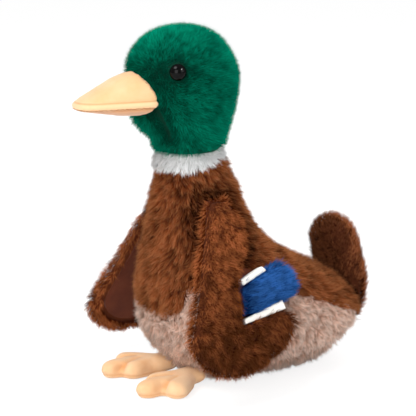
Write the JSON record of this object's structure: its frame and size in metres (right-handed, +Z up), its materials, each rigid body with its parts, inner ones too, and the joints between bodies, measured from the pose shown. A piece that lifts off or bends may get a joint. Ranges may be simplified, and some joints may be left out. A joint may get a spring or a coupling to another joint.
{
  "type": "plush duck",
  "caption": "Sitting stuffed drake with a soft bill, button eyes, hanging wings, an upcurled tail and lobed feet.",
  "frame": {"origin": "on the floor under the middle of the toy's bounding box", "axes": "+Z up, the duck looks along -Y, its own left side is +X"},
  "size_m": [0.168, 0.228, 0.246],
  "materials": {
    "green_plush": "dense plush, about 7 mm pile",
    "white_plush": "dense plush, about 6 mm pile",
    "brown_plush": "soft plush, 8 to 14 mm pile",
    "taupe_plush": "short crushed plush",
    "blue_plush": "long plush",
    "peach_velour": "smooth velour",
    "brown_lining": "flat short-napped cloth",
    "white_satin": "satin strip",
    "fibre_fill": "loose white fibre filling",
    "eye_gloss": "polished black",
    "washer_plastic": "moulded"
  },
  "bodies": {
    "torso": {"neck_band": "white_plush", "back_cover": "brown_plush", "belly_cover": "taupe_plush", "base_panel": "taupe_plush", "body_stuffing": "fibre_fill", "tail_cover": "brown_plush", "tail_stuffing": "fibre_fill"},
    "head": {"head_cover": "green_plush", "head_stuffing": "fibre_fill", "left_eye": "eye_gloss", "right_eye": "eye_gloss", "left_eye_washer": "washer_plastic", "right_eye_washer": "washer_plastic", "bill_upper": "peach_velour", "bill_lip": "peach_velour", "bill_lower": "peach_velour", "bill_stuffing": "fibre_fill"},
    "left_wing": {"left_wing_outer": "brown_plush", "left_wing_lining": "brown_lining", "left_wing_patch": "blue_plush", "left_wing_upper_stripe": "white_satin", "left_wing_lower_stripe": "white_satin"},
    "right_wing": {"right_wing_outer": "brown_plush", "right_wing_lining": "brown_lining", "right_wing_patch": "blue_plush", "right_wing_upper_stripe": "white_satin", "right_wing_lower_stripe": "white_satin"},
    "left_leg": {"left_leg_cover": "peach_velour", "left_foot_sole": "peach_velour", "left_leg_stuffing": "fibre_fill"},
    "right_leg": {"right_leg_cover": "peach_velour", "right_foot_sole": "peach_velour", "right_leg_stuffing": "fibre_fill"}
  },
  "joints": [
    {"name": "head_turn", "type": "hinge", "parent": "torso", "child": "head", "pos_m": [0.00122, -0.02789, 0.162], "axis": [0, 0, 1], "range_deg": [-30, 30], "stiffness_Nm_per_rad": 0.05},
    {"name": "left_wing_lift", "type": "hinge", "parent": "torso", "child": "left_wing", "pos_m": [0.03007, -0.02448, 0.131], "axis": [0.0349, -0.9994, 0], "range_deg": [0, 75]},
    {"name": "right_wing_lift", "type": "hinge", "parent": "torso", "child": "right_wing", "pos_m": [-0.03007, -0.02401, 0.124], "axis": [0.0349, 0.9994, 0], "range_deg": [0, 75]},
    {"name": "left_leg_swing", "type": "hinge", "parent": "torso", "child": "left_leg", "pos_m": [0.01922, -0.03358, 0.0075], "axis": [-1, 0, 0], "range_deg": [-60, 35], "stiffness_Nm_per_rad": 0.02},
    {"name": "right_leg_swing", "type": "hinge", "parent": "torso", "child": "right_leg", "pos_m": [-0.01678, -0.03358, 0.0075], "axis": [-1, 0, 0], "range_deg": [-60, 35], "stiffness_Nm_per_rad": 0.02}
  ]
}
